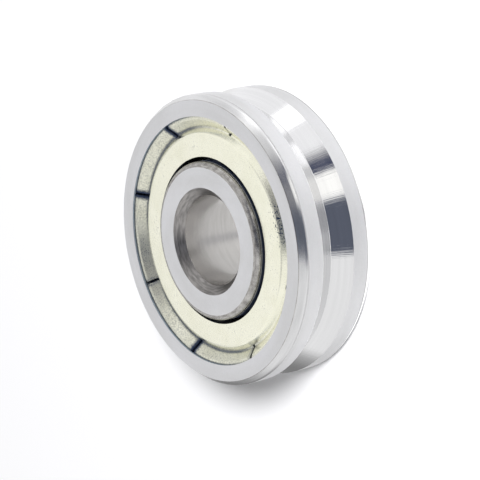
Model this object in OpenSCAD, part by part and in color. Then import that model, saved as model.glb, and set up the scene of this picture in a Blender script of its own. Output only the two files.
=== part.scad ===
// V groove wheel: a double-shielded deep groove ball bearing whose outer ring
// carries a V groove, for running on a V rail, a round bar or a wire.
// The bearing axis is Z and the origin is the middle of the bore.

/* [Rings] */
// Diameter of the bore
bore_d = 5; // [4:0.1:5.6]
// Outside diameter over the two lands beside the groove
outer_d = 16; // [15.6:0.1:18]
// Width over the ring faces, the same for both rings
ring_w = 5; // [4.8:0.1:6]
// Chamfer at 45 degrees at each end of the bore
bore_chamfer = 0.46; // [0.2:0.02:0.6]
// Corner radius at the outer edges of the inner ring's faces
inner_corner = 0.3; // [0.1:0.05:0.35]
// How far the outer ring's rounded corners cut into its faces
corner_drop = 0.29; // [0.15:0.01:0.4]
// How far the outer ring's rounded corners run along its lands
corner_run = 0.5; // [0.45:0.01:0.7]

/* [V groove] */
// Angle between the two flanks of the groove
groove_angle = 120; // [90:1:130]
// Depth of the groove below the lands
groove_depth = 0.61; // [0.3:0.01:0.8]

/* [Balls and races] */
// Diameter of the balls
ball_d = 2.778; // [2.6:0.001:2.85]
// Radius of the races' section, as a share of the ball diameter
race_share = 0.52; // [0.51:0.005:0.54]
// Gap between a ball and the bottom of each race
ball_gap = 0.01; // [0.005:0.005:0.02]
// Depth of the inner race below the inner ring's shoulders
inner_race_depth = 0.52; // [0.4:0.01:0.6]
// Depth of the outer race below the outer ring's shoulders
outer_race_depth = 0.55; // [0.45:0.01:0.6]

/* [Shields] */
// Thickness of the shields' sheet steel
shield_t = 0.2; // [0.15:0.01:0.22]
// Radius inside the shields' bends
shield_bend = 0.05; // [0.03:0.01:0.06]
// How far a shield's flat web lies below the ring faces
web_depth = 0.37; // [0.3:0.01:0.45]
// Gap between a shield's bore and the inner ring
shield_gap = 0.23; // [0.1:0.01:0.3]
// Depth of the valley below the web
valley_depth = 0.25; // [0.2:0.01:0.3]
// Width of the valley, which sits on the outer ring's seat
valley_w = 0.18; // [0.16:0.01:0.22]
// Slope from the web down into the valley
web_slope = 43; // [35:1:50]
// Slope from the valley up to the rim
rim_slope = 47; // [42:1:55]
// How far the crimped rim lies below the ring faces
rim_depth = 0.14; // [0.13:0.01:0.2]
// Width of the crimped rim, from its bend to its edge
rim_w = 0.21; // [0.16:0.01:0.25]
// Number of slits that part the rim into tabs
slit_count = 8; // [4:1:12]
// Width of the slits
slit_w = 0.16; // [0.1:0.01:0.3]
// How far the slits' round ends lie inside the valley
slit_root = 0.1; // [0:0.01:0.25]

/* [Shield seats in the outer ring] */
// Depth of the undercut that holds a shield's rim
undercut = 0.12; // [0.1:0.01:0.2]
// Thickness of the lip over the undercut
lip_t = 0.12; // [0.08:0.01:0.12]
// Gap between a shield's rim and the wall of the undercut
crimp_gap = 0.01; // [0.005:0.005:0.02]

/* [Cage] */
// Thickness of the cage's sheet steel
cage_t = 0.15; // [0.1:0.01:0.18]
// Radial width of the cage's ribbon
cage_w = 1; // [0.8:0.02:1.04]
// Gap between a ball and its pocket
pocket_gap = 0.03; // [0.01:0.005:0.05]
// Width of the ears that clinch the cage's halves together
ear_w = 0.6; // [0.4:0.05:0.8]
// How far a folded ear laps under the other half
ear_lap = 0.3; // [0.2:0.02:0.4]
// Gap between an ear and the edge that it folds round
ear_gap = 0.05; // [0.03:0.005:0.06]

/* [Hidden] */
$fn = 96;

// One ball to a node, so their number is fixed
ball_count = 7;
ball_step = 360 / ball_count;
// What a cut reaches past the face that it opens
clear = 1;
// Flats to a bend in a sheet section
bend_steps = 3;

face_z = ring_w / 2;
bore_r = bore_d / 2;
outer_r = outer_d / 2;
groove_half_w = groove_depth * tan(groove_angle / 2);

// The ball centres run midway between the bore and the lands
pitch_r = (bore_r + outer_r) / 2;
ball_r = ball_d / 2;
race_r = race_share * ball_d;
race_shift = race_r - ball_r - ball_gap;
inner_shoulder_r = pitch_r - ball_r - ball_gap + inner_race_depth;
outer_shoulder_r = pitch_r + ball_r + ball_gap - outer_race_depth;

// The shield's section, by the middle of its sheet
web_z = face_z - web_depth - shield_t / 2;
valley_z = web_z - valley_depth;
rim_z = face_z - rim_depth - shield_t / 2;
shield_bore_r = inner_shoulder_r + shield_gap;
web_end_r = outer_shoulder_r - valley_depth / tan(web_slope);
valley_end_r = outer_shoulder_r + valley_w;
rim_start_r = valley_end_r + (rim_z - valley_z) / tan(rim_slope);
rim_end_r = rim_start_r + rim_w;

// The seat that the valley rests on, and the undercut round the rim
seat_z = valley_z - shield_t / 2;
undercut_r = rim_end_r + crimp_gap;
seat_r = undercut_r - undercut;

pocket_r = ball_r + pocket_gap;
cage_in_r = pitch_r - cage_w / 2;
cage_out_r = pitch_r + cage_w / 2;

ground_steel = [0.80, 0.80, 0.82];
pale_zinc = [0.93, 0.93, 0.84];
cage_steel = [0.62, 0.62, 0.63];
ball_steel = [0.86, 0.87, 0.89];

// Normal to the left of the direction d, in degrees
function left_of(d) = [-sin(d), cos(d)];
// Direction of the leg from corner i to the next
function leg_dir(p, i) = atan2(p[i + 1][1] - p[i][1], p[i + 1][0] - p[i][0]);

// Turn at corner i, to the left where it is positive
function turn_at(p, i) =
    let (a = leg_dir(p, i) - leg_dir(p, i - 1)) a > 180 ? a - 360 : a < -180 ? a + 360 : a;

// One side of a bent sheet that follows the corners p, off to the left of its middle.
// Each inner corner is an arc about the same centre on both sides of the sheet.
function sheet_side(p, off, bend_r) = [
    p[0] + off * left_of(leg_dir(p, 0)),
    for (i = [1 : len(p) - 2])
        let (
            before = leg_dir(p, i - 1),
            turn = turn_at(p, i),
            side = sign(turn),
            centre = p[i] + side * bend_r / cos(turn / 2) * left_of(before + turn / 2)
        )
        for (k = [0 : bend_steps])
            centre - side * (bend_r - side * off) * left_of(before + turn * k / bend_steps),
    p[len(p) - 1] + off * left_of(leg_dir(p, len(p) - 2))
];

function backwards(list) = [for (i = [len(list) - 1 : -1 : 0]) list[i]];

// Section of a sheet t thick that follows the corners p, bent to the inside radius bend
module sheet_section(p, t, bend) {
    r = bend + t / 2;
    polygon(concat(sheet_side(p, t / 2, r), backwards(sheet_side(p, -t / 2, r))));
}

// Both ends of a section that is the same above and below the middle plane
module both_ends() {
    children();
    mirror([0, 1]) children();
}

// Waste outside a round corner that takes drop off the face and run off the side,
// the side at radius r
module corner_waste(r, drop, run) {
    round_r = (drop * drop + run * run) / (2 * drop);
    difference() {
        translate([r - drop, face_z - run]) square([drop + clear, run + clear]);
        translate([r - round_r, face_z - run]) circle(round_r);
    }
}

// Ball centres, numbered from 1 and counted from the X axis
module at_ball(i) {
    rotate(ball_step * (i - 1)) translate([pitch_r, 0, 0]) children();
}

module inner_ring_section() {
    difference() {
        translate([bore_r, -face_z]) square([inner_shoulder_r - bore_r, ring_w]);
        translate([pitch_r + race_shift, 0]) circle(race_r);
        both_ends() {
            corner_waste(inner_shoulder_r, inner_corner, inner_corner);
            translate([bore_r, face_z]) rotate(45)
                square(bore_chamfer * sqrt(2), center = true);
        }
    }
}

module shield_seat_waste() {
    translate([outer_shoulder_r - clear, seat_z])
        square([undercut_r - outer_shoulder_r + clear, face_z - lip_t - seat_z]);
    translate([outer_shoulder_r - clear, seat_z])
        square([seat_r - outer_shoulder_r + clear, face_z - seat_z + clear]);
}

module outer_ring_section() {
    difference() {
        translate([outer_shoulder_r, -face_z]) square([outer_r - outer_shoulder_r, ring_w]);
        translate([pitch_r - race_shift, 0]) circle(race_r);
        polygon([
            [outer_r - groove_depth, 0],
            [outer_r, -groove_half_w],
            [outer_r + clear, -groove_half_w],
            [outer_r + clear, groove_half_w],
            [outer_r, groove_half_w]
        ]);
        both_ends() {
            corner_waste(outer_r, corner_drop, corner_run);
            shield_seat_waste();
        }
    }
}

// Pressed sheet shield: a flat web, a valley that sits on the ring's seat, and a rim
// that climbs from the valley and is crimped under the lip, parted by slits into tabs
module shield() {
    section = [
        [shield_bore_r, web_z],
        [web_end_r, web_z],
        [outer_shoulder_r, valley_z],
        [valley_end_r, valley_z],
        [rim_start_r, rim_z],
        [rim_end_r, rim_z]
    ];
    root_r = outer_shoulder_r - slit_root;
    slit_h = face_z - seat_z + 2 * clear;
    difference() {
        rotate_extrude() sheet_section(section, shield_t, shield_bend);
        for (i = [0 : slit_count - 1])
            rotate(360 / slit_count * (i + 0.5)) translate([root_r, 0, seat_z - clear]) {
                cylinder(d = slit_w, h = slit_h);
                translate([0, -slit_w / 2, 0]) cube([rim_end_r - root_r + clear, slit_w, slit_h]);
            }
    }
}

// Ribbon cage half: flats on the middle plane, domed over each ball
module cage_half() {
    intersection() {
        rotate_extrude() translate([cage_in_r, 0]) square([cage_w, pocket_r + 2 * cage_t]);
        difference() {
            union() {
                cylinder(r = cage_out_r + clear, h = cage_t);
                for (i = [1 : ball_count]) at_ball(i) sphere(pocket_r + cage_t);
            }
            for (i = [1 : ball_count]) at_ball(i) sphere(pocket_r);
        }
    }
}

// Ear at an edge of a flat, folded down round the other half's edge and under it;
// side is 1 at the outer edge and -1 at the inner one
module cage_ear(edge_r, side) {
    ear_angle = ear_w / edge_r * 180 / PI;
    fold_r = edge_r + side * (ear_gap + cage_t / 2);
    section = [
        [edge_r - side * ear_lap, cage_t / 2],
        [fold_r, cage_t / 2],
        [fold_r, -1.5 * cage_t],
        [edge_r - side * ear_lap, -1.5 * cage_t]
    ];
    rotate(-ear_angle / 2) rotate_extrude(angle = ear_angle)
        sheet_section(section, cage_t, ear_gap);
}

module inner_ring() {
    color(ground_steel) rotate_extrude() inner_ring_section();
}

module outer_ring() {
    color(ground_steel) rotate_extrude() outer_ring_section();
}

module front_shield() {
    color(pale_zinc) shield();
}

module rear_shield() {
    color(pale_zinc) rotate([180, 0, 0]) shield();
}

// The front half carries the ears
module cage_front() {
    color(cage_steel) {
        cage_half();
        for (i = [1 : ball_count]) rotate(ball_step * (i - 0.5)) {
            cage_ear(cage_out_r, 1);
            cage_ear(cage_in_r, -1);
        }
    }
}

module cage_rear() {
    color(cage_steel) mirror([0, 0, 1]) cage_half();
}

module ball(i) {
    color(ball_steel) at_ball(i) sphere(ball_r);
}

inner_ring();
outer_ring();
front_shield();
rear_shield();
cage_front();
cage_rear();
ball(1);  // ball_1
ball(2);  // ball_2
ball(3);  // ball_3
ball(4);  // ball_4
ball(5);  // ball_5
ball(6);  // ball_6
ball(7);  // ball_7
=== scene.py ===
import math
import bpy
from mathutils import Matrix, Vector


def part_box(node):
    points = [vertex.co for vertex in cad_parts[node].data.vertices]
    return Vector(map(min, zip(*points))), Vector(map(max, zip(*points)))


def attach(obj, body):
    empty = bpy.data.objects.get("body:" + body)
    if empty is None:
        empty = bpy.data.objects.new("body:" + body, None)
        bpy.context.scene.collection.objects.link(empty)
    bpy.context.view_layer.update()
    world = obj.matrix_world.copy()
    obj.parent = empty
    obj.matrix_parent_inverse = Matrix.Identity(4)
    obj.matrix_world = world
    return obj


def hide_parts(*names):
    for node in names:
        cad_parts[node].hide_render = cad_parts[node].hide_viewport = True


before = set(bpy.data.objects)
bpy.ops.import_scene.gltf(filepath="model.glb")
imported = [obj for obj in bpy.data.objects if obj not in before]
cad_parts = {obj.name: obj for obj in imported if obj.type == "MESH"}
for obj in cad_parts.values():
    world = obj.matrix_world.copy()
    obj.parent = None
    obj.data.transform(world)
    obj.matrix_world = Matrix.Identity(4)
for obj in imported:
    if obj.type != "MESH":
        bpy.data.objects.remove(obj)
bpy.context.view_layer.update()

# A V groove wheel: a double-shielded ball bearing with a V groove round its outer ring. It lies
# on its rear face. Lengths are in metres, Z is the bearing axis and the origin is the middle of
# the bore.
MM = 0.001

# ------------------------------------------------------------------------------ inner ring
# Through-hardened chrome bearing steel, turned, then ground on the faces and honed in the bore.
# Tumbling leaves the faces a soft light grey. A shaft or a screw holds this ring, and the rest
# of the bearing turns round it.


def reach(node):
    """Nearest and farthest distance of a solid's surface from the bearing axis."""
    radii = [vertex.co.xy.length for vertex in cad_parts[node].data.vertices]
    return min(radii), max(radii)


bore_r, inner_shoulder_r = reach("inner_ring")
outer_shoulder_r, outer_r = reach("outer_ring")
face_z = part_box("inner_ring")[1].z
ball_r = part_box("ball_1")[1].z
pitch_r = (bore_r + outer_r) / 2
bore_chamfer = 0.46 * MM
inner_corner = 0.3 * MM
ball_gap = 0.01 * MM
# Radius of the races' section, as a share of the ball diameter
race_share = 0.52
race_r = race_share * 2 * ball_r
race_shift = race_r - ball_r - ball_gap
edge_break = 0.02 * MM
# Points nearer than this are one point. A ring's steps are fine enough for a smooth edge when
# it fills the view.
weld_gap = 0.0005 * MM
steps_round = 288


def add(tree, kind, inputs=None, output=None, **settings):
    """Adds a node with its settings. An input, by its name or number, is given a value or linked
    to another node's output. Gives back the output that is asked for, or else the first."""
    node = tree.nodes.new(kind)
    for name, value in settings.items():
        setattr(node, name, value)
    for name, value in (inputs or {}).items():
        live = [socket for socket in node.inputs if socket.enabled and socket.name == name]
        socket = live[0] if live else node.inputs[name]
        if isinstance(value, bpy.types.NodeSocket):
            tree.links.new(value, socket)
        else:
            socket.default_value = value
    live = [socket for socket in node.outputs if socket.enabled and output in (None, socket.name)]
    return live[0] if live else None


def with_empty_tree(made):
    """A new material or world, ready for nodes."""
    made.use_nodes = True
    made.node_tree.nodes.clear()
    return made


def linear(colour):
    """An sRGB hex colour as the linear values that a shader takes."""
    shares = [int(colour[i : i + 2], 16) / 255 for i in (0, 2, 4)]
    return [s / 12.92 if s <= 0.04045 else ((s + 0.055) / 1.055) ** 2.4 for s in shares] + [1]


def round_axis(tree, place):
    """A place's distance from the axis, its heading round the axis and its height."""
    across = add(tree, "ShaderNodeVectorMath", {0: place, 1: (1, 1, 0)}, operation="MULTIPLY")
    radius = add(tree, "ShaderNodeVectorMath", {0: across}, operation="LENGTH")
    heading = add(tree, "ShaderNodeVectorMath", {0: across}, operation="NORMALIZE")
    return radius, heading, add(tree, "ShaderNodeSeparateXYZ", {0: place}, output="Z")


def lay(tree, spacing, streak):
    """Marks drawn out round the axis, as a tool or a grinding wheel leaves them: its lines lie
    about spacing apart, and each keeps its depth for about streak."""
    place = add(tree, "ShaderNodeTexCoord", output="Object")
    radius, heading, height = round_axis(tree, place)
    turns = {0: heading, "Scale": pitch_r / streak}
    circle = add(tree, "ShaderNodeVectorMath", turns, operation="SCALE")
    along = add(tree, "ShaderNodeMath", {0: radius, 1: height}, operation="ADD")
    number = add(tree, "ShaderNodeMath", {0: along, 1: spacing}, operation="DIVIDE")
    lift = add(tree, "ShaderNodeCombineXYZ", {"Z": number})
    where = add(tree, "ShaderNodeVectorMath", {0: circle, 1: lift}, operation="ADD")
    return add(tree, "ShaderNodeTexNoise", {"Vector": where, "Scale": 1, "Detail": 3})


def bare_metal(name, colours, roughness, patch, grains, lines=()):
    """Metal with no coat. Its colour runs between two in patches, which have a width and a
    length round the axis, and its roughness runs between two values in grains. Grains are a size
    and a depth, and each of the lines is a spacing, a length round the axis and a depth."""
    material = with_empty_tree(bpy.data.materials.new(name))
    tree = material.node_tree
    place = add(tree, "ShaderNodeTexCoord", output="Object")
    share = {"Value": lay(tree, *patch), "From Min": 0.35, "From Max": 0.65}
    mixed = {"A": linear(colours[0]), "B": linear(colours[1])}
    mixed["Factor"] = add(tree, "ShaderNodeMapRange", share)
    colour = add(tree, "ShaderNodeMix", mixed, data_type="RGBA")
    size, depth = grains
    grain = add(tree, "ShaderNodeTexNoise", {"Vector": place, "Scale": 1 / size, "Detail": 2})
    normal = add(tree, "ShaderNodeBump", {"Height": grain, "Strength": 1, "Distance": depth})
    for spacing, streak, depth in lines:
        marks = {"Height": lay(tree, spacing, streak), "Strength": 1, "Distance": depth}
        normal = add(tree, "ShaderNodeBump", {**marks, "Normal": normal})
    shine = {"Value": grain, "From Min": 0.3, "From Max": 0.7}
    shine.update({"To Min": roughness[0], "To Max": roughness[1]})
    surface = {"Base Color": colour, "Metallic": 1, "Normal": normal}
    surface["Roughness"] = add(tree, "ShaderNodeMapRange", shine)
    shader = add(tree, "ShaderNodeBsdfPrincipled", surface)
    add(tree, "ShaderNodeOutputMaterial", {"Surface": shader})
    return material


# Bearing steel ground and then tumbled, on the faces and the lands: light grey and nearly matt.
# The tumbling marks are drawn coarser than the real ones.
ground = bare_metal(
    "ground_bearing_steel",
    colours=("dbdbdc", "e1e1e3"),
    roughness=(0.52, 0.66),
    patch=(0.8 * MM, 3 * MM),
    grains=(0.07 * MM, 0.003 * MM),
    lines=[(0.06 * MM, 2 * MM, 0.0015 * MM)],
)
# The same steel turned after hardening, in the V groove: a mirror with fine lines round the
# axis, and chatter marks across them
turned = bare_metal(
    "hard_turned_bearing_steel",
    colours=("d8d8d9", "dededf"),
    roughness=(0.05, 0.09),
    patch=(0.1 * MM, 6 * MM),
    grains=(0.12 * MM, 0.0002 * MM),
    lines=[(0.06 * MM, 8 * MM, 0.0008 * MM), (1.5 * MM, 0.035 * MM, 0.0025 * MM)],
)
# Rounded off with a form tool, on the corners of the outer ring: satin, and streaked round the
# axis
rounded = bare_metal(
    "form_turned_bearing_steel",
    colours=("cacacb", "dadadb"),
    roughness=(0.17, 0.27),
    patch=(0.06 * MM, 2.5 * MM),
    grains=(0.06 * MM, 0.001 * MM),
    lines=[(0.045 * MM, 2.5 * MM, 0.002 * MM)],
)
# Turned before hardening, on the corners of the inner ring: a darker, duller grey. Its colour
# also paints a thin dark reflection at the front edge of the outer ring
tempered_and_dark_edge = bare_metal(
    "tempered_bearing_steel",
    colours=("8f8c89", "bab8b5"),
    roughness=(0.24, 0.34),
    patch=(0.06 * MM, 0.4 * MM),
    grains=(0.07 * MM, 0.003 * MM),
    lines=[(0.04 * MM, 1.5 * MM, 0.0015 * MM)],
)
# The bore's chamfers keep some of the scale from hardening: dark grey and streaked
scaled = bare_metal(
    "scaled_bearing_steel",
    colours=("7a7877", "a09d9b"),
    roughness=(0.3, 0.42),
    patch=(0.15 * MM, 1.2 * MM),
    grains=(0.06 * MM, 0.002 * MM),
    lines=[(0.05 * MM, 1.5 * MM, 0.002 * MM)],
)
# Honed and lightly oiled, in the bore and the races: an even satin, darker than the faces
honed = bare_metal(
    "honed_bearing_steel",
    colours=("c4c2c0", "cac8c6"),
    roughness=(0.22, 0.23),
    patch=(0.1 * MM, 3 * MM),
    grains=(0.3 * MM, 0),
    lines=[(0.05 * MM, 3 * MM, 0.00002 * MM)],
)
# Under the lips, where oil and dust stay: dull and bluish
oiled = bare_metal(
    "oiled_bearing_steel",
    colours=("a0aec2", "bcc8d8"),
    roughness=(0.45, 0.6),
    patch=(0.1 * MM, 1 * MM),
    grains=(0.06 * MM, 0.002 * MM),
)
# Down in the gaps, under grease: dull and blue, and dark because so little light gets there
greased = bare_metal(
    "greased_bearing_steel",
    colours=("5a6788", "7482a2"),
    roughness=(0.5, 0.6),
    patch=(0.1 * MM, 1 * MM),
    grains=(0.06 * MM, 0.002 * MM),
)
GROUND, TURNED, ROUNDED, TEMPERED_AND_DARK_EDGE, SCALED, HONED, OILED, GREASED = range(8)
ring_finishes = [ground, turned, rounded, tempered_and_dark_edge, scaled, honed, oiled, greased]


def arc(centre, radius, start, end, steps):
    """Points of an arc in a section, with angles in degrees from outwards to frontwards."""
    angles = [math.radians(start + (end - start) * i / steps) for i in range(steps + 1)]
    return [(centre[0] + radius * math.cos(a), centre[1] + radius * math.sin(a)) for a in angles]


def eased(before, corner, after, radius, steps=4):
    """A corner of a section, rounded to a small radius."""
    corner = Vector(corner)
    back = (Vector(before) - corner).normalized()
    ahead = (Vector(after) - corner).normalized()
    half = back.angle(ahead) / 2
    centre = corner + (back + ahead).normalized() * radius / math.sin(half)
    first = corner + back * radius / math.tan(half) - centre
    last = corner + ahead * radius / math.tan(half) - centre
    start = math.atan2(first.y, first.x)
    turn = (math.atan2(last.y, last.x) - start + math.pi) % (2 * math.pi) - math.pi
    return arc(centre, radius, math.degrees(start), math.degrees(start + turn), steps)


def both_ends(front_half, rear_finish):
    """A whole section from its front half, each a list of a finish and the points that have it.
    The rear half may have another finish in place of one of the front's."""
    rear_half = []
    for finish, points in front_half[::-1]:
        mirrored = [(r, -z) for r, z in points[::-1]]
        rear_half.append((rear_finish.get(finish, finish), mirrored))
    return front_half + rear_half


def new_tree(name, inputs, output):
    """A geometry tree with named inputs and one output, and the sockets that give what is asked
    for at its inputs."""
    tree = bpy.data.node_groups.new(name, "GeometryNodeTree")
    for label, kind in inputs:
        tree.interface.new_socket(label, in_out="INPUT", socket_type="NodeSocket" + kind)
    tree.interface.new_socket(output, in_out="OUTPUT", socket_type="NodeSocketGeometry")
    return tree, tree.nodes.new("NodeGroupInput").outputs


def welded(tree, pieces, crease):
    """Pieces joined where they meet, and shaded smooth but for creases above an angle."""
    meeting = {"Geometry": pieces, "Distance": weld_gap}
    whole = add(tree, "GeometryNodeMergeByDistance", meeting)
    is_soft = {"A": add(tree, "GeometryNodeInputMeshEdgeAngle"), "B": math.radians(crease)}
    soft = add(tree, "FunctionNodeCompare", is_soft, operation="LESS_THAN")
    shading = {"Geometry": whole, "Shade Smooth": soft}
    return add(tree, "GeometryNodeSetShadeSmooth", shading, domain="EDGE")


# The tree turns a section round the axis. The section comes as chains of edges, one for each
# stretch of a finish, which are welded where they meet.
turning, asked = new_tree(
    "Turned ring",
    [("Section", "Object"), ("Pitch radius", "Float"), ("Steps round", "Int")],
    "Ring",
)
chains = add(turning, "GeometryNodeObjectInfo", {"Object": asked["Section"]}, "Geometry")
section = add(turning, "GeometryNodeMeshToCurve", {"Mesh": chains})
round_trip = {"Resolution": asked["Steps round"], "Radius": asked["Pitch radius"]}
path = add(turning, "GeometryNodeCurvePrimitiveCircle", round_trip)
swept = add(turning, "GeometryNodeCurveToMesh", {"Curve": path, "Profile Curve": section})
numbers = add(turning, "GeometryNodeInputNamedAttribute", {"Name": "finish"}, data_type="INT")
carried = {"Geometry": swept, "Name": "finish", "Value": numbers}
faced = add(turning, "GeometryNodeStoreNamedAttribute", carried, data_type="INT", domain="FACE")
shaded = welded(turning, faced, crease=24)
dressed = add(turning, "GeometryNodeRealizeInstances", {"Geometry": shaded})
finish = add(turning, "GeometryNodeInputNamedAttribute", {"Name": "finish"}, data_type="INT")
for number, steel in enumerate(ring_finishes):
    numbered = {"A": finish, "B": number}
    chosen = add(turning, "FunctionNodeCompare", numbered, data_type="INT", operation="EQUAL")
    dressing = {"Geometry": dressed, "Selection": chosen, "Material": steel}
    dressed = add(turning, "GeometryNodeSetMaterial", dressing)
add(turning, "NodeGroupOutput", {"Ring": dressed})


def in_scene(name, mesh):
    """A new object in the scene, at the origin."""
    piece = bpy.data.objects.new(name, mesh)
    bpy.context.scene.collection.objects.link(piece)
    return piece


def from_tree(name, tree, values):
    """A plain piece made by a geometry tree from the values of its named inputs."""
    piece = in_scene(name, bpy.data.meshes.new(name))
    modifier = piece.modifiers.new(tree.name, "NODES")
    modifier.node_group = tree
    sockets = {item.name: item.identifier for item in tree.interface.items_tree}
    for label, value in values.items():
        modifier[sockets[label]] = value
    ready = piece.evaluated_get(bpy.context.evaluated_depsgraph_get())
    made = bpy.data.meshes.new_from_object(ready)
    piece.modifiers.clear()
    piece.data = made
    made.name = name
    return piece


def turned_ring(name, front_half, rear_finish):
    """A ring turned from the front half of its section. The tree turns a section's Y rearwards,
    and the faces come out facing away from the steel."""
    points, edges, finishes = [], [], []
    for number, chain in both_ends(front_half, rear_finish):
        first = len(points)
        points += [(r - pitch_r, -z, 0) for r, z in chain]
        edges += [(first + i, first + i + 1) for i in range(len(chain) - 1)]
        finishes += [number] * len(chain)
    outline = bpy.data.meshes.new(name + "_section")
    outline.from_pydata(points, edges, [])
    outline.attributes.new("finish", "INT", "POINT").data.foreach_set("value", finishes)
    drawn = in_scene(outline.name, outline)
    values = {"Section": drawn, "Pitch radius": pitch_r, "Steps round": steps_round}
    ring = from_tree(name, turning, values)
    bpy.data.objects.remove(drawn)
    return ring


inner_race_edge = math.degrees(math.acos((inner_shoulder_r - pitch_r - race_shift) / race_r))
chamfer_foot = (bore_r, face_z - bore_chamfer)
chamfer_top = (bore_r + bore_chamfer, face_z)
corner_r = inner_shoulder_r - inner_corner
# Grease starts a little way below the corner
clean_z = face_z - inner_corner
grease_z = clean_z - 0.08 * MM
inner_race = arc((pitch_r + race_shift, 0), race_r, inner_race_edge, 180, steps=24)
bore_edge = eased((bore_r, 0), chamfer_foot, chamfer_top, edge_break)
face_edge = eased(chamfer_foot, chamfer_top, (corner_r, face_z), edge_break)
inner_ring = turned_ring(
    "inner_ring_ground",
    [
        (HONED, [(bore_r, 0), bore_edge[0]]),
        (SCALED, [*bore_edge, face_edge[0]]),
        (GROUND, [*face_edge, (corner_r, face_z)]),
        (TEMPERED_AND_DARK_EDGE, arc((corner_r, clean_z), inner_corner, 90, 0, steps=12)),
        (GROUND, [(inner_shoulder_r, clean_z), (inner_shoulder_r, grease_z)]),
        (GREASED, [(inner_shoulder_r, grease_z), inner_race[0]]),
        (HONED, inner_race),
    ],
    rear_finish={},
)
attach(inner_ring, "inner")
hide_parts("inner_ring")

# ------------------------------------------------------------------------------ outer ring
# The same bearing steel. The faces and lands are ground and tumbled, the rounded corners are
# turned with a form tool, and the V groove is turned to a mirror. Behind each face a lip with an
# undercut holds the shield.

corner_drop = 0.29 * MM
corner_run = 0.5 * MM
corner_slope = math.radians(40)
corner_round = 0.3 * MM
groove_half_angle = math.radians(60)
groove_depth = 0.61 * MM
groove_bottom = 0.05 * MM
undercut = 0.12 * MM
lip_t = 0.12 * MM
crimp_gap = 0.01 * MM

rim_end_r = reach("front_shield")[1]
seat_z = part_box("front_shield")[0].z
undercut_r = rim_end_r + crimp_gap
seat_r = undercut_r - undercut
lip_z = face_z - lip_t
outer_race_edge = math.degrees(math.acos((outer_shoulder_r - pitch_r + race_shift) / race_r))
outer_race = arc((pitch_r - race_shift, 0), race_r, 0, outer_race_edge, steps=24)
corner_start = (outer_r - corner_drop, face_z)
cone_end = (outer_r, face_z - corner_drop / math.tan(corner_slope))
land_end = (outer_r, face_z - corner_run)
round_corner = [corner_start, *eased(corner_start, cone_end, land_end, corner_round, steps=10)]
# A thin strip of painted dark reflection at the edge of the front face
dark_reflection_edge = Vector(corner_start).lerp(round_corner[1], 0.1)
groove_half_w = groove_depth * math.tan(groove_half_angle)
groove_edge = (outer_r, groove_half_w)
groove_foot = (outer_r - groove_depth, 0)
groove_other_edge = (outer_r, -groove_half_w)
broken_edge = eased(land_end, groove_edge, groove_foot, edge_break)
root_steps = 8
root = eased(groove_edge, groove_foot, groove_other_edge, groove_bottom, root_steps)
front_root = root[: root_steps // 2 + 1]
broken_lip = eased((seat_r, lip_z), (seat_r, face_z), (outer_r, face_z), edge_break)
outer_ring = turned_ring(
    "outer_ring_turned",
    [
        (HONED, outer_race),
        (HONED, [outer_race[-1], (outer_shoulder_r, seat_z)]),
        (GREASED, [(outer_shoulder_r, seat_z), (undercut_r, seat_z)]),
        (OILED, [(undercut_r, seat_z), (undercut_r, lip_z)]),
        (OILED, [(undercut_r, lip_z), (seat_r, lip_z), broken_lip[0]]),
        (GROUND, [*broken_lip, corner_start]),
        # Painted dark reflection, in the tempered steel's colour
        (TEMPERED_AND_DARK_EDGE, [corner_start, dark_reflection_edge]),
        (ROUNDED, [dark_reflection_edge, *round_corner[1:], land_end]),
        (GROUND, [land_end, broken_edge[0]]),
        (TURNED, [*broken_edge, *front_root]),
    ],
    # The rear edge has no painted dark reflection
    rear_finish={TEMPERED_AND_DARK_EDGE: ROUNDED},
)
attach(outer_ring, "outer")
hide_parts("outer_ring")

# ----------------------------------------------------------------------------------- balls
# Seven balls of chrome steel, cold headed, hardened and lapped to a mirror. They run between
# the races, out of sight behind the shields.

# Lapped, under a film of grease: a mirror, a little uneven
lapped = bare_metal(
    "lapped_ball_steel",
    colours=("c4c5c9", "dadce0"),
    roughness=(0.04, 0.1),
    patch=(0.4 * MM, 0.4 * MM),
    grains=(0.3 * MM, 0.001 * MM),
)
for name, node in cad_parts.items():
    if name.startswith("ball_"):
        node.data.materials.clear()
        node.data.materials.append(lapped)

# ------------------------------------------------------------------------------------ cage
# A ribbon cage: two pressed halves of mild steel strip, clinched together by ears between the
# balls, which it spaces out. It is left as it comes from the press.

# Cold rolled, dull from the press and its oil
rolled = bare_metal(
    "cold_rolled_cage_steel",
    colours=("8f8f90", "b0b0b1"),
    roughness=(0.35, 0.5),
    patch=(0.5 * MM, 0.8 * MM),
    grains=(0.05 * MM, 0.002 * MM),
)
for name in ("cage_front", "cage_rear"):
    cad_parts[name].data.materials.clear()
    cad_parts[name].data.materials.append(rolled)

# --------------------------------------------------------------------------------- shields
# Steel strip 0.2 mm thick, drawn, pierced and slit, then zinc plated a pale yellowish white.
# The valley sits on the ring's seat, and the press folds the rim out under the lip. Slits let
# the rim give way, and part it into eight tabs.

sheet_t = 0.2 * MM
sheet_bend = 0.05 * MM
valley_depth = 0.25 * MM
valley_w = 0.18 * MM
web_slope = math.radians(43)
rim_w = 0.21 * MM
slit_w = 0.16 * MM
slit_count = 8
# The slits end this far outside the valley's inner edge
slit_end = 0.05 * MM
# How far pressing rounds the slits' edges over
shear_roll = 0.1 * MM
shear_drop = 0.03 * MM

shield_bore_r = reach("front_shield")[0]
rim_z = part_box("front_shield")[1].z - sheet_t / 2
valley_z = seat_z + sheet_t / 2
web_z = valley_z + valley_depth
middle_line = [
    Vector((shield_bore_r, web_z)),
    Vector((outer_shoulder_r - valley_depth / math.tan(web_slope), web_z)),
    Vector((outer_shoulder_r, valley_z)),
    Vector((outer_shoulder_r + valley_w, valley_z)),
    Vector((rim_end_r - rim_w, rim_z)),
    Vector((rim_end_r, rim_z)),
]


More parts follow.
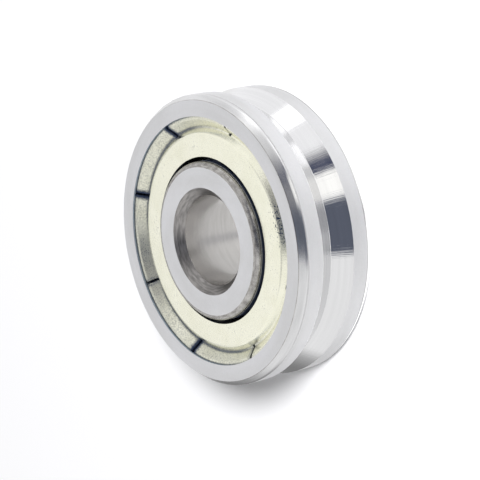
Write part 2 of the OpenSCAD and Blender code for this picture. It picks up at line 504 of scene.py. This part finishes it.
def overlap(tree, ramps, most=1, **settings):
    """Most where all of the ramps are full, and 0 where one is empty. Each ramp is a value, with
    what it is where the ramp is empty and where it is full."""
    share = most
    for value, empty, full in ramps:
        steps = {"Value": value, "From Min": empty, "From Max": full}
        ramp = add(tree, "ShaderNodeMapRange", steps, **settings)
        share = add(tree, "ShaderNodeMath", {0: share, 1: ramp}, operation="MULTIPLY")
    return share


def facing(tree, heading, bearing):
    """The cosine of the angle between a heading and a bearing, in degrees."""
    towards = (math.cos(math.radians(bearing)), math.sin(math.radians(bearing)), 0)
    return add(tree, "ShaderNodeVectorMath", {0: heading, 1: towards}, operation="DOT_PRODUCT")


def zinc_plate():
    """Zinc plating with a clear, faintly yellow passivation on drawn strip. It is a pale cream,
    satin and a little uneven. The shield's attribute darkens it with an oily coat and painted
    shade, in the valley, in the slits and under the lip. This darkening is nearly left off on the
    side toward the camera, and is thinner on the far side; darker specks lie at the outer edge of
    the front web on the camera's side. Fine dark specks lie in clouds."""
    cloud_size, peel_size, peel_depth = 1.1 * MM, 0.07 * MM, 0.004 * MM
    camera_side_bearing, edge_speck_half = -80, math.radians(10)
    material = with_empty_tree(bpy.data.materials.new("passivated_zinc_plate"))
    tree = material.node_tree
    place = add(tree, "ShaderNodeTexCoord", output="Object")
    radius, heading, height = round_axis(tree, place)
    clouds = add(tree, "ShaderNodeTexNoise", {"Vector": place, "Scale": 1 / cloud_size})
    peel = {"Vector": place, "Scale": 1 / peel_size, "Detail": 2}
    specks = add(tree, "ShaderNodeTexNoise", peel)
    # The attribute: an oily coat with painted shade in the valley, under the lip and in the slits
    kept = add(tree, "ShaderNodeAttribute", {}, "Fac", attribute_name="film")
    # The darkening is mostly left off toward the camera's side, and thinner on the far side
    near = facing(tree, heading, camera_side_bearing)
    for full, faded, least in ((0, 0.5, 0.05), (-0.94, -0.995, 0.6)):
        left = {"Value": near, "From Min": full, "From Max": faded, "To Min": 1, "To Max": least}
        left = add(tree, "ShaderNodeMapRange", left)
        kept = add(tree, "ShaderNodeMath", {0: kept, 1: left}, operation="MULTIPLY")
    # Darker specks at the outer edge of the front web on the camera's side
    edge_speck_ramps = [
        (near, math.cos(edge_speck_half + 0.14), math.cos(edge_speck_half - 0.1)),
        (radius, outer_shoulder_r - 0.6 * MM, outer_shoulder_r - 0.1 * MM),
        (radius, outer_shoulder_r + 0.25 * MM, outer_shoulder_r),
        (height, 0, 1 * MM),
    ]
    thinned = {"Value": overlap(tree, edge_speck_ramps), "To Min": 0.72, "To Max": 0.42}
    level = add(tree, "ShaderNodeMapRange", thinned)
    over = add(tree, "ShaderNodeMath", {0: level, 1: 0.12}, operation="ADD")
    stipple = {"Value": specks, "From Min": level, "From Max": over, "To Max": 0.95}
    edge_specks = add(tree, "ShaderNodeMapRange", stipple)
    strewn = overlap(tree, [(clouds, 0.58, 0.72), (specks, 0.58, 0.68)], most=0.4)
    marked = add(tree, "ShaderNodeMath", {0: edge_specks, 1: strewn}, operation="MAXIMUM")
    gathered = add(tree, "ShaderNodeMath", {0: kept, 1: marked}, operation="MAXIMUM")
    broken = {"Value": specks, "From Min": 0.35, "From Max": 0.65, "To Min": 2, "To Max": 0.8}
    speckled = add(tree, "ShaderNodeMapRange", broken)
    film = add(tree, "ShaderNodeMath", {0: gathered, 1: speckled}, operation="POWER")
    shade = {"Factor": clouds, "A": linear("e7e6d1"), "B": linear("faf9ea")}
    cream = add(tree, "ShaderNodeMix", shade, data_type="RGBA")
    # The dark colour of the oily coat and of the painted shade
    tinge = {"Factor": film, "A": linear("5c6062"), "B": linear("26406a")}
    grease_and_shade_colour = add(tree, "ShaderNodeMix", tinge, data_type="RGBA")
    dirt_and_shade = {"Factor": film, "A": cream, "B": grease_and_shade_colour}
    colour = add(tree, "ShaderNodeMix", dirt_and_shade, data_type="RGBA")
    peeled = {"Height": specks, "Strength": 1, "Distance": peel_depth}
    uneven = add(tree, "ShaderNodeBump", peeled)
    waved = {"Height": clouds, "Strength": 1, "Distance": peel_depth, "Normal": uneven}
    normal = add(tree, "ShaderNodeBump", waved)
    shine = {"Value": specks, "From Min": 0.3, "From Max": 0.7, "To Min": 0.2, "To Max": 0.3}
    satin = add(tree, "ShaderNodeMapRange", shine)
    duller = {0: film, 1: 0.6, 2: satin}
    surface = {"Base Color": colour, "Metallic": 1, "Normal": normal}
    surface["Roughness"] = add(tree, "ShaderNodeMath", duller, operation="MULTIPLY_ADD")
    shader = add(tree, "ShaderNodeBsdfPrincipled", surface)
    add(tree, "ShaderNodeOutputMaterial", {"Surface": shader})
    return material


def evenly(points, spacing):
    """Points along a line with steps no longer than spacing."""
    line = [points[0]]
    for before, after in zip(points, points[1:]):
        steps = max(1, math.ceil((after - before).length / spacing))
        line += [before.lerp(after, i / steps) for i in range(1, steps + 1)]
    return line


def bent_sheet(corners, bend_r):
    """The middle line of a bent sheet, with the direction to its front side at each point."""
    bend_steps, spacing = 8, 0.06 * MM
    points, fronts = [corners[0]], []
    for before, corner, after in zip(corners, corners[1:], corners[2:]):
        points += [Vector(p) for p in eased(before, corner, after, bend_r, bend_steps)]
    points = evenly(points + [corners[-1]], spacing)
    for i in range(len(points)):
        ahead = points[min(i + 1, len(points) - 1)] - points[max(i - 1, 0)]
        fronts.append(Vector((-ahead.y, ahead.x)).normalized())
    return list(zip(points, fronts))


def slit_half_width(r):
    """Half the width of a slit at a radius: none inside its end, which is round."""
    inside = outer_shoulder_r + slit_end - r
    if inside > slit_w / 2:
        return 0
    return slit_w / 2 if inside <= 0 else math.sqrt((slit_w / 2) ** 2 - inside**2)


def across_tab(r):
    """The headings of the points across a tab at a radius, from slit to slit, and how far
    pressing has lowered the front at each."""
    edge_steps = [0, 0.12, 0.25, 0.4, 0.6, 0.8, 1]
    shares = [i / 12 for i in range(-11, 12)]
    slit = math.asin(slit_half_width(r) / r)
    roll = shear_roll / r
    inner = math.pi / slit_count - slit - roll
    headings = [-math.pi / slit_count + slit + roll * e for e in edge_steps]
    headings += [inner * s for s in shares]
    headings += [math.pi / slit_count - slit - roll * e for e in edge_steps[::-1]]
    drops = [shear_drop * (1 - e) ** 2 * (slit > 0) for e in edge_steps]
    drops += [0] * len(shares) + drops[::-1]
    return headings, drops


def smooth(value, start, end):
    """0 up to start and 1 from end, with a soft run between; end may lie below start."""
    share = min(max((value - start) / (end - start), 0), 1)
    return share * share * (3 - 2 * share)


def film_and_shade_share(r, aside):
    """How much oily coat and painted shade lie at a radius and at a distance round from a slit:
    painted shade in the valley and against the lip, darker round the slit's end and in the slit,
    and thinly up the slope."""
    # Painted shade in the valley and against the lip; the slope, the slit's end and the slit are
    # darkened too
    valley = smooth(r, outer_shoulder_r - 0.02 * MM, outer_shoulder_r + 0.06 * MM)
    valley *= 0.82 * smooth(r, outer_shoulder_r + 0.28 * MM, outer_shoulder_r + 0.12 * MM)
    slope = 0.36 * smooth(r, outer_shoulder_r, outer_shoulder_r + 0.2 * MM)
    rim = 0.68 * smooth(r, seat_r - 0.14 * MM, seat_r - 0.04 * MM)
    from_end = math.hypot(outer_shoulder_r - r, aside)
    slit_end_dark = 0.7 * smooth(from_end, 0.28 * MM, 0.12 * MM)
    slit = 0.95 * smooth(aside, slit_w / 2 + 0.14 * MM, slit_w / 2 + 0.09 * MM)
    slit *= smooth(r, outer_shoulder_r - 0.08 * MM, outer_shoulder_r)
    return max(valley, slope, rim, slit_end_dark, slit)


def shield_tab():
    """One tab of the shield with its share of the web, as a mesh centred on the X axis. Its
    points go in rows from the bore to the rim, all of the front's before the back's."""
    line = bent_sheet(middle_line, sheet_bend + sheet_t / 2)
    verts, films_and_shades = [], []
    for is_back in (False, True):
        for point, front in line:
            headings, drops = across_tab(point.x)
            for heading, drop in zip(headings, drops):
                lift = -sheet_t / 2 if is_back else sheet_t / 2 - drop
                place = point + front * lift
                verts.append((place.x * math.cos(heading), place.x * math.sin(heading), place.y))
                aside = (math.pi / slit_count - abs(heading)) * place.x
                # Each point's share of oily coat and painted shade
                films_and_shades.append(film_and_shade_share(place.x, aside))
    rows, columns = len(line), len(headings)
    back = rows * columns
    faces = []
    for row in range(rows - 1):
        first = row * columns
        last = first + columns - 1
        for a in range(first, last):
            b = back + a
            faces.append((a, a + columns, a + columns + 1, a + 1))
            faces.append((b, b + 1, b + columns + 1, b + columns))
        if slit_half_width(line[row + 1][0].x) > 0:
            faces.append((first, back + first, back + first + columns, first + columns))
            faces.append((last, last + columns, back + last + columns, back + last))
    for a in range(columns - 1):
        b = (rows - 1) * columns + a
        faces.append((a, a + 1, back + a + 1, back + a))
        faces.append((b, back + b, back + b + 1, b + 1))
    tab = bpy.data.meshes.new("shield_tab")
    tab.from_pydata(verts, [], faces)
    tab.attributes.new("film", "FLOAT", "POINT").data.foreach_set("value", films_and_shades)
    return in_scene("shield_tab", tab)


# The tree sets the tabs round the axis and welds them into one shield.
pressing, asked = new_tree(
    "Pressed shield",
    [("Tab", "Object"), ("Tabs", "Int"), ("Material", "Material")],
    "Shield",
)
one_tab = add(pressing, "GeometryNodeObjectInfo", {"Object": asked["Tab"]}, "Geometry")
centres = add(pressing, "GeometryNodePoints", {"Count": asked["Tabs"]})
number = add(pressing, "GeometryNodeInputIndex")
step = add(pressing, "ShaderNodeMath", {0: 2 * math.pi, 1: asked["Tabs"]}, operation="DIVIDE")
turn = add(pressing, "ShaderNodeMath", {0: number, 1: step}, operation="MULTIPLY")
turns = add(pressing, "FunctionNodeAxisAngleToRotation", {"Axis": (0, 0, 1), "Angle": turn})
setting = {"Points": centres, "Instance": one_tab, "Rotation": turns}
tabs = add(pressing, "GeometryNodeInstanceOnPoints", setting)
real_tabs = add(pressing, "GeometryNodeRealizeInstances", {"Geometry": tabs})
plating = {"Geometry": welded(pressing, real_tabs, crease=40), "Material": asked["Material"]}
add(pressing, "NodeGroupOutput", {"Shield": add(pressing, "GeometryNodeSetMaterial", plating)})

tab = shield_tab()
plate = zinc_plate()
for side in ("front", "rear"):
    values = {"Tab": tab, "Tabs": slit_count, "Material": plate}
    shield = from_tree(side + "_shield_pressed", pressing, values)
    if side == "rear":
        shield.data.transform(Matrix.Rotation(math.pi, 4, "X"))
    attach(shield, "outer")
    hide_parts(side + "_shield")
bpy.data.objects.remove(tab)

# ------------------------------------------------------------------------ table and studio
# A white table and a large soft lamp over the far side, in a white room. Bright metal mirrors
# the room's cards and flags, and the dark corner where the camera stands.

# The table lies a hair below the rear face, so that the two don't share a plane
table_gap = 0.002 * MM
bpy.ops.mesh.primitive_plane_add(size=400 * MM, location=(0, 0, -face_z - table_gap))
table = bpy.context.object
table.name = "table"

# Matt white, with a faint light of its own. Metal sees the white room through it, as over a
# light table.
white = with_empty_tree(bpy.data.materials.new("white_table"))
tree = white.node_tree
matt = add(tree, "ShaderNodeBsdfDiffuse", {"Color": linear("e6e6e8")})
lit = add(tree, "ShaderNodeEmission", {"Color": linear("ffffff"), "Strength": 0.13})
shown = add(tree, "ShaderNodeAddShader", {0: matt, 1: lit})
clear = add(tree, "ShaderNodeBsdfTransparent")
mirrored = add(tree, "ShaderNodeLightPath", output="Is Glossy Ray")
through = add(tree, "ShaderNodeMixShader", {0: mirrored, 1: shown, 2: clear})
add(tree, "ShaderNodeOutputMaterial", {"Surface": through})
table.data.materials.append(white)

# The room's cards and flags, each over those before it: the bearing of its middle in degrees,
# its half width and how far its sides fade, its lowest and highest edge and how far those fade,
# and its colour
room = [
    (-60, 172, 12, -90, -46, 6, (2.2, 2.2, 2.2)),
    (-60, 165, 20, -95, -76, 4, (0.66, 0.66, 0.66)),
    (-140, 24, 16, -48, 60, 10, (1.04, 1.04, 1.04)),
    (137, 24, 20, -38, 2, 16, (0.42, 0.42, 0.42)),
    (133, 14, 16, -32, -8, 14, (0.26, 0.26, 0.26)),
    (100, 22, 12, 17, 30, 8, (0.6, 0.6, 0.62)),
    (14, 46, 12, -48, 20, 14, (1.16, 1.16, 1.17)),
    (42, 14, 16, 10, 34, 8, (0.7, 0.7, 0.7)),
    (-60, 125, 10, -46, -31, 6, (0.8, 0.8, 0.8)),
    (1.5, 8, 5, -24, 25, 6, (1.8, 1.8, 1.8)),
    (-66, 38, 14, 30, 70, 14, (0.28, 0.28, 0.3)),
    (-70, 170, 10, 65, 95, 10, (0.44, 0.44, 0.46)),
    (-28, 10, 6, -26, -10, 6, (1.9, 1.9, 1.9)),
    (-40, 6, 9, -10, 48, 8, (0.5, 0.5, 0.52)),
    (-44, 5.5, 3, -10, 48, 8, (0.1, 0.11, 0.17)),
    (-58, 9, 3, -30, 26, 6, (1.36, 1.35, 1.31)),
    (-83, 9, 8, -60, -26, 8, (0.65, 0.65, 0.67)),
    (-90, 20, 3, -26, 75, 8, (0.13, 0.145, 0.19)),
]
walls = 1.04
# What the table sees of the room, so that the wheel's shadow stays soft but plain
dim_room = 0.12

world = with_empty_tree(bpy.data.worlds.new("white_room"))
tree = world.node_tree
direction = add(tree, "ShaderNodeTexCoord", output="Generated")
_, heading, rise = round_axis(tree, direction)
seen = add(tree, "ShaderNodeCombineXYZ", {0: walls, 1: walls, 2: walls})
for middle, half, side_fade, low, high, edge_fade, colour in room:
    near = facing(tree, heading, middle)
    far_edge = math.cos(math.radians(half + side_fade / 2))
    near_edge = math.cos(math.radians(max(half - side_fade / 2, 0)))
    fade = math.radians(edge_fade) / 2
    bottom, top = math.sin(math.radians(low)), math.sin(math.radians(high))
    edges = [(near, far_edge, near_edge)]
    edges += [(rise, bottom - fade, bottom + fade), (rise, top + fade, top - fade)]
    share = overlap(tree, edges, interpolation_type="SMOOTHSTEP")
    card = {"Factor": share, "A": seen, "B": (*colour, 1)}
    seen = add(tree, "ShaderNodeMix", card, data_type="RGBA")
mirrored_room = add(tree, "ShaderNodeBackground", {"Color": seen, "Strength": 1})
plain = add(tree, "ShaderNodeBackground", {"Color": linear("ffffff"), "Strength": 1})
to_camera = add(tree, "ShaderNodeLightPath", output="Is Camera Ray")
around = add(tree, "ShaderNodeMixShader", {0: to_camera, 1: mirrored_room, 2: plain})
dim = add(tree, "ShaderNodeBackground", {"Color": linear("ffffff"), "Strength": dim_room})
to_table = add(tree, "ShaderNodeLightPath", output="Is Diffuse Ray")
mixed = add(tree, "ShaderNodeMixShader", {0: to_table, 1: around, 2: dim})
add(tree, "ShaderNodeOutputWorld", {"Surface": mixed})
bpy.context.scene.world = world


def direction_to(bearing, height):
    """The direction from the wheel at a bearing and a height, both in degrees."""
    turn, pitch = math.radians(bearing), math.radians(height)
    level = Vector((math.cos(turn), math.sin(turn), 0)) * math.cos(pitch)
    return level + Vector((0, 0, math.sin(pitch)))


key_light = bpy.data.lights.new("soft_key", "AREA")
key_light.shape = "DISK"
key_light.size = 190 * MM
key_light.energy = 5.7
key = bpy.data.objects.new("soft_key", key_light)
bpy.context.scene.collection.objects.link(key)
key_distance = 600 * MM
key.location = direction_to(bearing=-62, height=42) * key_distance
key.rotation_euler = key.location.to_track_quat("Z", "Y").to_euler()
key.visible_glossy = False

# Camera: it looks down on the front face, and is rolled until the wheel seems to stand with its
# axis level
camera_distance = 102.5 * MM
camera_roll = math.radians(-101.8)
slide_right, slide_up = -0.11 * MM, -0.31 * MM
camera = bpy.data.objects.new("camera", bpy.data.cameras.new("camera"))
bpy.context.scene.collection.objects.link(camera)
back = direction_to(bearing=-81.3, height=37.1)
level_right = Vector((0, 0, 1)).cross(back).normalized()
right = Matrix.Rotation(camera_roll, 3, back) @ level_right
up = back.cross(right)
stand = back * camera_distance + right * slide_right + up * slide_up
turned_to_wheel = Matrix((right, up, back)).transposed().to_4x4()
camera.matrix_world = Matrix.Translation(stand) @ turned_to_wheel
camera.data.lens = 139.9
camera.data.clip_start = 1 * MM
bpy.context.scene.camera = camera
bpy.context.scene.view_settings.view_transform = "Standard"
